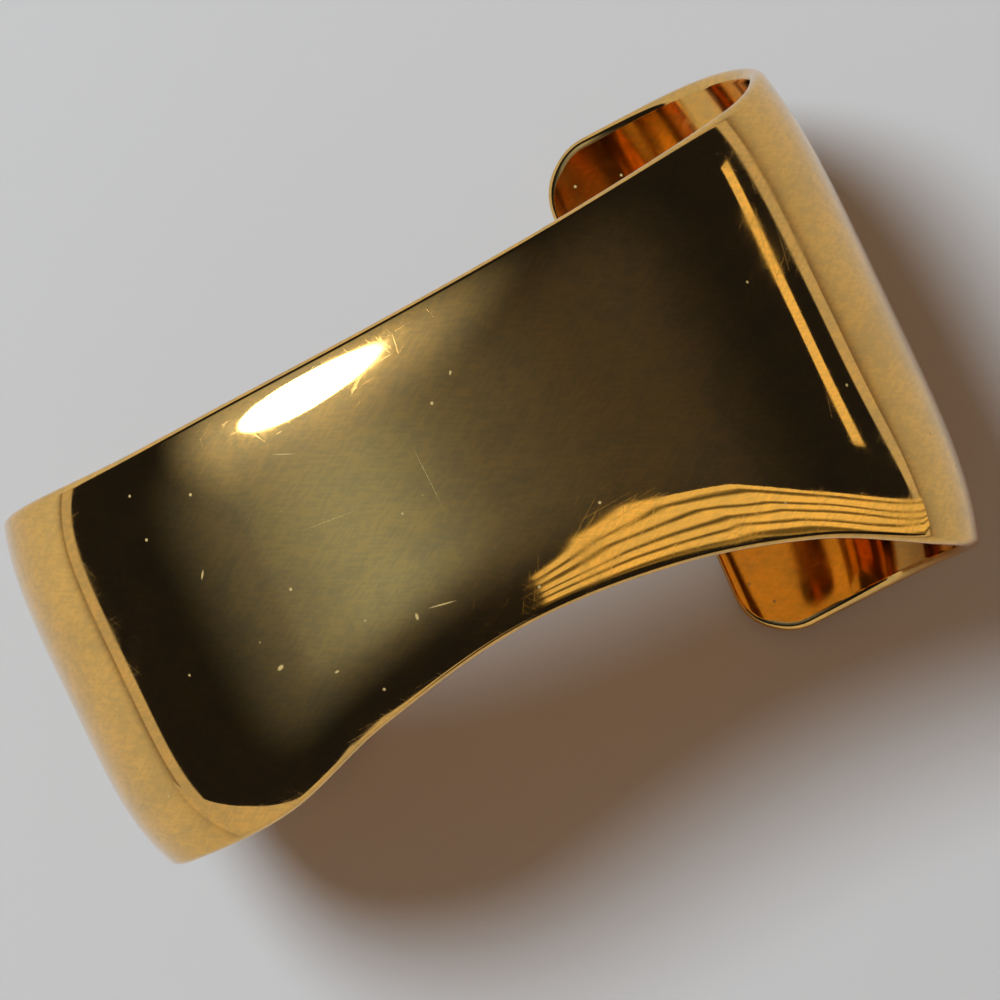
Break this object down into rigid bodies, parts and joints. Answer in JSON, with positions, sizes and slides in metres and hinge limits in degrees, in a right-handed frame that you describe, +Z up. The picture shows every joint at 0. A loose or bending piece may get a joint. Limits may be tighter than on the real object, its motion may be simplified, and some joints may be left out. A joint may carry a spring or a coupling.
{
  "type": "bangle bracelet",
  "caption": "Open cuff bracelet of polished gold-coloured sheet metal, waisted at the front, with a sprung gap that slips over the wrist.",
  "frame": {"origin": "on the ground midway between the two tips, at the bottom centre of the bounding box", "axes": "+X across the wrist towards the wider end, +Y along the forearm, +Z up out of the face; the cuff stands on its two tips"},
  "size_m": [0.0616, 0.0383, 0.0402],
  "materials": {
    "polished_brass": "mirror polished, fine hairline scratches"
  },
  "bodies": {
    "front": {"front_plate": "polished_brass"},
    "left_arm": {"left_arm": "polished_brass"},
    "right_arm": {"right_arm": "polished_brass"}
  },
  "joints": [
    {"name": "left_arm_flex", "type": "hinge", "parent": "front", "child": "left_arm", "pos_m": [-0.01951, 0, 0.03597], "axis": [0, 1, 0], "range_deg": [-4, 8], "stiffness_Nm_per_rad": 4},
    {"name": "right_arm_flex", "type": "hinge", "parent": "front", "child": "right_arm", "pos_m": [0.01951, 0, 0.03597], "axis": [0, -1, 0], "range_deg": [-4, 8], "stiffness_Nm_per_rad": 4}
  ]
}
